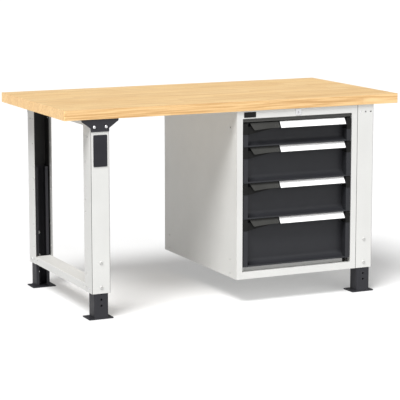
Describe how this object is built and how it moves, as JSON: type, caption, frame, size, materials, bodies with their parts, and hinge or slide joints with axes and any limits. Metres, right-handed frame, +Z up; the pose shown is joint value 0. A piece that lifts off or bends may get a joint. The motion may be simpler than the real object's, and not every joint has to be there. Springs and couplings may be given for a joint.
{
  "type": "workbench with drawers",
  "caption": "Steel-framed workbench with a thick beech top, height-adjustable feet, knee space and a hanging drawer cabinet with full-width pull handles and a central lock.",
  "frame": {"origin": "on the floor under the middle of the worktop", "axes": "+X along the worktop towards the cabinet, +Y towards the back, +Z up; the drawers open towards -Y"},
  "size_m": [1.507, 0.75, 0.845],
  "materials": {
    "beech": "clear lacquered beech staves",
    "light_paint": "light grey powder coat",
    "dark_paint": "anthracite powder coat",
    "handle_paint": "anthracite powder coat",
    "foot_paint": "anthracite powder coat",
    "trim_paint": "grey powder coat",
    "tray_paint": "light grey powder coat",
    "zinc": "bright zinc plated",
    "runner_steel": "zinc plated rolled steel",
    "dark_plastic": "fine grained moulding",
    "latch_plastic": "fine grained moulding",
    "label_card": "white strip under clear film"
  },
  "bodies": {
    "bench": {"worktop": "beech", "front_left_leg": "light_paint", "rear_left_leg": "light_paint", "front_right_leg": "light_paint", "rear_right_leg": "light_paint", "front_left_foot": "foot_paint", "rear_left_foot": "foot_paint", "front_right_foot": "foot_paint", "rear_right_foot": "foot_paint", "lower_left_rail": "light_paint", "upper_left_rail": "light_paint", "lower_right_rail": "light_paint", "upper_right_rail": "light_paint", "front_left_gusset": "foot_paint", "rear_left_gusset": "foot_paint", "leg_cover": "dark_plastic", "foot_bolts": "zinc", "frame_bolts": "zinc", "gusset_screws": "zinc", "worktop_screws": "zinc", "cabinet_left_side": "light_paint", "cabinet_right_side": "light_paint", "cabinet_back": "light_paint", "cabinet_top": "light_paint", "cabinet_bottom": "light_paint", "front_frame": "light_paint", "top_trim": "trim_paint", "name_plate": "dark_plastic", "lock_housing": "zinc", "cabinet_runners": "runner_steel"},
    "drawer_1": {"drawer_1_tray": "tray_paint", "drawer_1_front": "dark_paint", "drawer_1_handle": "handle_paint", "drawer_1_label": "label_card", "drawer_1_end_caps": "dark_plastic"},
    "runner_1": {"drawer_1_runners": "runner_steel"},
    "latch_1": {"drawer_1_latch": "latch_plastic"},
    "drawer_2": {"drawer_2_tray": "tray_paint", "drawer_2_front": "dark_paint", "drawer_2_handle": "handle_paint", "drawer_2_label": "label_card", "drawer_2_end_caps": "dark_plastic"},
    "runner_2": {"drawer_2_runners": "runner_steel"},
    "latch_2": {"drawer_2_latch": "latch_plastic"},
    "drawer_3": {"drawer_3_tray": "tray_paint", "drawer_3_front": "dark_paint", "drawer_3_handle": "handle_paint", "drawer_3_label": "label_card", "drawer_3_end_caps": "dark_plastic"},
    "runner_3": {"drawer_3_runners": "runner_steel"},
    "latch_3": {"drawer_3_latch": "latch_plastic"},
    "drawer_4": {"drawer_4_tray": "tray_paint", "drawer_4_front": "dark_paint", "drawer_4_handle": "handle_paint", "drawer_4_label": "label_card", "drawer_4_end_caps": "dark_plastic"},
    "runner_4": {"drawer_4_runners": "runner_steel"},
    "latch_4": {"drawer_4_latch": "latch_plastic"},
    "lock": {"lock_cylinder": "zinc"},
    "locking_bar": {"locking_bar": "zinc"}
  },
  "joints": [
    {"name": "drawer_1_slide", "type": "slide", "parent": "bench", "child": "drawer_1", "axis": [0, -1, 0], "range_m": [0, 0.6]},
    {"name": "runner_1_slide", "type": "slide", "parent": "bench", "child": "runner_1", "axis": [0, -1, 0], "range_m": [0, 0.3]},
    {"name": "latch_1_press", "type": "hinge", "parent": "drawer_1", "child": "latch_1", "pos_m": [0.1285, -0.3555, 0.7475], "axis": [1, 0, 0], "range_deg": [0, 10], "stiffness_Nm_per_rad": 0.3},
    {"name": "drawer_2_slide", "type": "slide", "parent": "bench", "child": "drawer_2", "axis": [0, -1, 0], "range_m": [0, 0.6]},
    {"name": "runner_2_slide", "type": "slide", "parent": "bench", "child": "runner_2", "axis": [0, -1, 0], "range_m": [0, 0.3]},
    {"name": "latch_2_press", "type": "hinge", "parent": "drawer_2", "child": "latch_2", "pos_m": [0.1285, -0.3555, 0.6475], "axis": [1, 0, 0], "range_deg": [0, 10], "stiffness_Nm_per_rad": 0.3},
    {"name": "drawer_3_slide", "type": "slide", "parent": "bench", "child": "drawer_3", "axis": [0, -1, 0], "range_m": [0, 0.6]},
    {"name": "runner_3_slide", "type": "slide", "parent": "bench", "child": "runner_3", "axis": [0, -1, 0], "range_m": [0, 0.3]},
    {"name": "latch_3_press", "type": "hinge", "parent": "drawer_3", "child": "latch_3", "pos_m": [0.1285, -0.3555, 0.4975], "axis": [1, 0, 0], "range_deg": [0, 10], "stiffness_Nm_per_rad": 0.3},
    {"name": "drawer_4_slide", "type": "slide", "parent": "bench", "child": "drawer_4", "axis": [0, -1, 0], "range_m": [0, 0.6]},
    {"name": "runner_4_slide", "type": "slide", "parent": "bench", "child": "runner_4", "axis": [0, -1, 0], "range_m": [0, 0.3]},
    {"name": "latch_4_press", "type": "hinge", "parent": "drawer_4", "child": "latch_4", "pos_m": [0.1285, -0.3555, 0.3475], "axis": [1, 0, 0], "range_deg": [0, 10], "stiffness_Nm_per_rad": 0.3},
    {"name": "lock_turn", "type": "hinge", "parent": "bench", "child": "lock", "pos_m": [0.28, -0.3675, 0.7885], "axis": [0, -1, 0], "range_deg": [0, 90]},
    {"name": "locking_bar_shift", "type": "slide", "parent": "bench", "child": "locking_bar", "axis": [1, 0, 0], "range_m": [0, 0.008]}
  ],
  "couplings": [
    {"joint": "runner_1_slide", "follows": "drawer_1_slide", "ratio": 0.5},
    {"joint": "runner_2_slide", "follows": "drawer_2_slide", "ratio": 0.5},
    {"joint": "runner_3_slide", "follows": "drawer_3_slide", "ratio": 0.5},
    {"joint": "runner_4_slide", "follows": "drawer_4_slide", "ratio": 0.5},
    {"joint": "lock_turn", "follows": "locking_bar_shift", "rad_per_m": 196.35}
  ]
}
